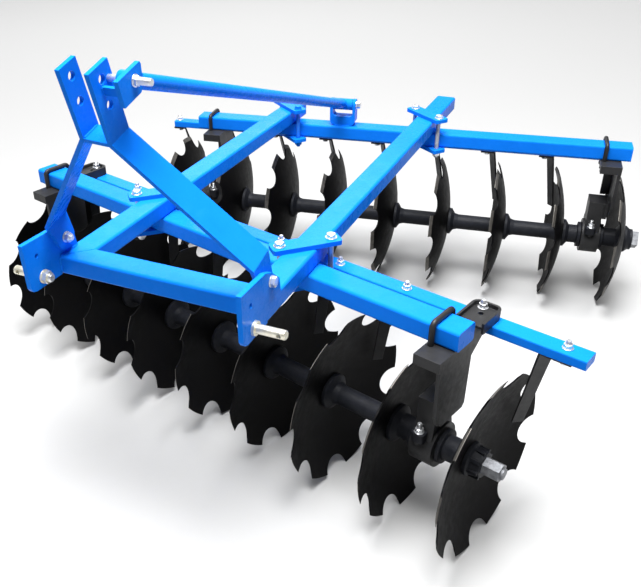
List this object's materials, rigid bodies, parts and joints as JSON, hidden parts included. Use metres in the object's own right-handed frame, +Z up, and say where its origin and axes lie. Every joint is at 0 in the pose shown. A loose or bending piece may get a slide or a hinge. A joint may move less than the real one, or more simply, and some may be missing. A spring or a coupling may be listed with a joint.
{
  "type": "mounted disc harrow",
  "caption": "Tractor-mounted offset disc harrow: two opposed gangs of notched discs turn on square shafts under a tube frame with a three-point hitch mast, brace tube and scrapers.",
  "frame": {"origin": "middle of the base of the whole machine's box, on the ground under the discs", "axes": "+Z up, -Y forward towards the tractor, +X to the machine's left side"},
  "size_m": [1.8848, 1.8696, 1.1444],
  "materials": {
    "blue_paint": "gloss paint",
    "black_paint": "satin black paint",
    "disc_black": "satin black with a ground bright edge",
    "black_casting": "painted casting",
    "bare_steel": "machined",
    "zinc_steel": "zinc plated"
  },
  "bodies": {
    "frame": {"brace_bracket": "blue_paint", "brace_ear": "blue_paint", "brace_pins": "zinc_steel", "brace_tube": "blue_paint", "clamp_bolts": "zinc_steel", "front_bearing_housings": "black_paint", "front_gang_beam": "blue_paint", "front_left_standard": "black_paint", "front_right_standard": "black_paint", "front_scraper_bar": "blue_paint", "front_scrapers": "black_paint", "front_u_bolts": "black_paint", "hitch_bar": "blue_paint", "left_hitch_plate": "blue_paint", "left_rail": "blue_paint", "lower_clamp_plates": "blue_paint", "lower_hitch_pins": "zinc_steel", "mast_left_bar": "blue_paint", "mast_right_bar": "blue_paint", "mast_tie_plate": "blue_paint", "rear_bearing_housings": "black_paint", "rear_gang_beam": "blue_paint", "rear_left_standard": "black_paint", "rear_right_standard": "black_paint", "rear_scraper_bar": "blue_paint", "rear_scrapers": "black_paint", "rear_u_bolts": "black_paint", "right_hitch_plate": "blue_paint", "right_rail": "blue_paint", "scraper_bar_brackets": "black_paint", "tube_end_caps": "blue_paint", "upper_clamp_plates": "blue_paint"},
    "front_gang": {"front_bearing_spools": "black_casting", "front_discs": "disc_black", "front_end_nut": "bare_steel", "front_end_washers": "black_casting", "front_gang_shaft": "bare_steel", "front_spools": "black_casting"},
    "rear_gang": {"rear_bearing_spools": "black_casting", "rear_discs": "disc_black", "rear_end_nut": "bare_steel", "rear_end_washers": "black_casting", "rear_gang_shaft": "bare_steel", "rear_spools": "black_casting"}
  },
  "joints": [
    {"name": "front_gang_spin", "type": "hinge", "parent": "frame", "child": "front_gang", "pos_m": [-0.06743, -0.41218, 0.23], "axis": [0.9632, -0.2689, 0], "continuous": true},
    {"name": "rear_gang_spin", "type": "hinge", "parent": "frame", "child": "rear_gang", "pos_m": [-0.06743, 0.57212, 0.23], "axis": [0.989, 0.1478, 0], "continuous": true}
  ]
}
